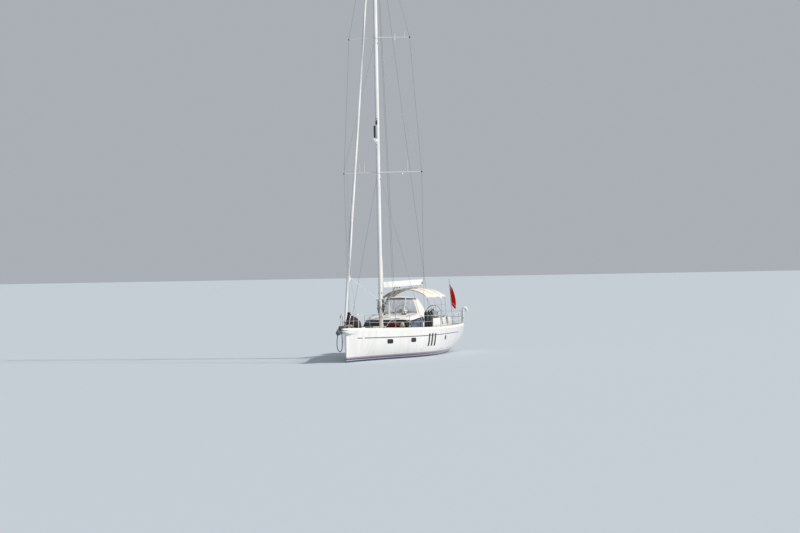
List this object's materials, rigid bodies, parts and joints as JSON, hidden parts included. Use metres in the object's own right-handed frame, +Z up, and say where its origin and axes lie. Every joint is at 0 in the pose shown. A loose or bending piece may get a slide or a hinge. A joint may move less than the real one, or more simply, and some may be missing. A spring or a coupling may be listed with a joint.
{
  "type": "sailing yacht",
  "caption": "Sloop-rigged cruising yacht afloat: raised saloon, centre boom, furled headsail, sprayhood, bimini, fin keel and spade rudder, with rudder, wheels, boom and lids that move.",
  "frame": {"origin": "on the centreline at the waterline, halfway along the hull", "axes": "+X forward to the bow, +Y to port, +Z up"},
  "size_m": [17.466, 4.8842, 27.37],
  "materials": {
    "gelcoat": "white gelcoat, gloss",
    "teak": "oiled teak, matt",
    "antifouling": "dark navy antifouling, matt",
    "bronze": "dull bronze",
    "tinted_glass": "dark tinted, gloss",
    "spar": "white painted alloy, satin",
    "white_plastic": "white, satin",
    "canvas": "cream acrylic canvas, matt",
    "sailcloth": "white woven cloth, matt",
    "black_rubber": "black fender covers, matt",
    "red_flag": "red woven polyester",
    "blue_canvas": "blue acrylic canvas, matt",
    "brown_canvas": "dark brown acrylic canvas, matt",
    "stainless": "polished stainless steel"
  },
  "bodies": {
    "yacht": {"anchor": "stainless", "backstay": "stainless", "bimini": "canvas", "bimini_frame": "stainless", "blue_bag": "blue_canvas", "bow_roller": "stainless", "coachroof": "gelcoat", "cockpit": "gelcoat", "deck": "teak", "ensign": "red_flag", "ensign_staff": "stainless", "fender_1": "black_rubber", "fender_2": "black_rubber", "fender_3": "black_rubber", "forestay": "stainless", "genoa": "sailcloth", "hull": "gelcoat", "keel": "antifouling", "mast": "spar", "masthead_unit": "white_plastic", "pulpit": "stainless", "pushpit": "stainless", "radome": "white_plastic", "rescue_gear": "white_plastic", "sail_bag": "brown_canvas", "saloon_fitout": "teak", "shaft_bracket": "bronze", "shrouds_port": "stainless", "shrouds_starboard": "stainless", "sprayhood": "canvas", "spreaders_lower": "spar", "spreaders_upper": "spar", "toe_rail_port": "teak", "toe_rail_starboard": "teak", "winch_aft_port": "stainless", "winch_aft_starboard": "stainless", "winch_forward_port": "stainless", "winch_forward_starboard": "stainless", "windlass": "stainless", "window_front": "tinted_glass", "window_port": "tinted_glass", "window_starboard": "tinted_glass"},
    "rudder": {"rudder": "antifouling"},
    "steering_wheel_port": {"steering_wheel_port": "stainless"},
    "steering_wheel_starboard": {"steering_wheel_starboard": "stainless"},
    "propeller": {"propeller": "bronze"},
    "boom": {"boom": "spar"},
    "companionway_hatch": {"companionway_hatch": "gelcoat"},
    "companionway_door": {"companionway_door": "teak"},
    "fore_hatch": {"fore_hatch": "tinted_glass"},
    "aft_hatch": {"aft_hatch": "tinted_glass"},
    "anchor_locker_lid": {"anchor_locker_lid": "gelcoat"},
    "lazarette_lid_port": {"lazarette_lid_port": "gelcoat"},
    "lazarette_lid_starboard": {"lazarette_lid_starboard": "gelcoat"},
    "locker_lid_port": {"locker_lid_port": "teak"},
    "locker_lid_starboard": {"locker_lid_starboard": "teak"},
    "swim_ladder": {"swim_ladder": "stainless"}
  },
  "joints": [
    {"name": "rudder_turn", "type": "hinge", "parent": "yacht", "child": "rudder", "pos_m": [-6.75, 0, -0.3], "axis": [0, 0, 1], "range_deg": [-35, 35]},
    {"name": "wheel_port_turn", "type": "hinge", "parent": "yacht", "child": "steering_wheel_port", "pos_m": [-5.195, 0.93, 2.19], "axis": [1, 0, 0], "range_deg": [-539, 539]},
    {"name": "wheel_starboard_turn", "type": "hinge", "parent": "yacht", "child": "steering_wheel_starboard", "pos_m": [-5.195, -0.93, 2.19], "axis": [1, 0, 0], "range_deg": [-539, 539]},
    {"name": "propeller_turn", "type": "hinge", "parent": "yacht", "child": "propeller", "pos_m": [-5.72, 0, -0.76], "axis": [0.9928, 0, 0.1197], "continuous": true},
    {"name": "boom_swing", "type": "hinge", "parent": "yacht", "child": "boom", "pos_m": [1.625, 0, 3.72], "axis": [0, 0, 1], "range_deg": [-62, 69]},
    {"name": "companionway_hatch_slide", "type": "slide", "parent": "yacht", "child": "companionway_hatch", "axis": [0.998, 0, -0.0628], "range_m": [0, 0.55]},
    {"name": "companionway_door_swing", "type": "hinge", "parent": "yacht", "child": "companionway_door", "pos_m": [-2.4, 0.33, 1.4], "axis": [0, 0, 1], "range_deg": [-95, 0]},
    {"name": "fore_hatch_lift", "type": "hinge", "parent": "yacht", "child": "fore_hatch", "pos_m": [4.96, 0, 1.7349], "axis": [0, 1, 0], "range_deg": [0, 85]},
    {"name": "aft_hatch_lift", "type": "hinge", "parent": "yacht", "child": "aft_hatch", "pos_m": [-6.31, 0, 1.624], "axis": [0, 1, 0], "range_deg": [0, 85]},
    {"name": "anchor_locker_lift", "type": "hinge", "parent": "yacht", "child": "anchor_locker_lid", "pos_m": [5.68, 0, 1.7429], "axis": [0, -1, 0], "range_deg": [0, 85]},
    {"name": "lazarette_port_lift", "type": "hinge", "parent": "yacht", "child": "lazarette_lid_port", "pos_m": [-6.97, 0.9, 1.6281], "axis": [0, 1, 0], "range_deg": [0, 85]},
    {"name": "lazarette_starboard_lift", "type": "hinge", "parent": "yacht", "child": "lazarette_lid_starboard", "pos_m": [-6.97, -0.9, 1.6281], "axis": [0, 1, 0], "range_deg": [0, 85]},
    {"name": "locker_port_lift", "type": "hinge", "parent": "yacht", "child": "locker_lid_port", "pos_m": [-3.425, 1.31, 1.672], "axis": [-1, 0, 0], "range_deg": [0, 80]},
    {"name": "locker_starboard_lift", "type": "hinge", "parent": "yacht", "child": "locker_lid_starboard", "pos_m": [-3.425, -1.31, 1.672], "axis": [1, 0, 0], "range_deg": [0, 80]},
    {"name": "swim_ladder_fold", "type": "hinge", "parent": "yacht", "child": "swim_ladder", "pos_m": [-8.25, 0, 0.33], "axis": [0, -1, 0], "range_deg": [0, 165]}
  ],
  "couplings": [
    {"joint": "wheel_port_turn", "follows": "rudder_turn", "ratio": 15.4},
    {"joint": "wheel_starboard_turn", "follows": "rudder_turn", "ratio": 15.4}
  ]
}
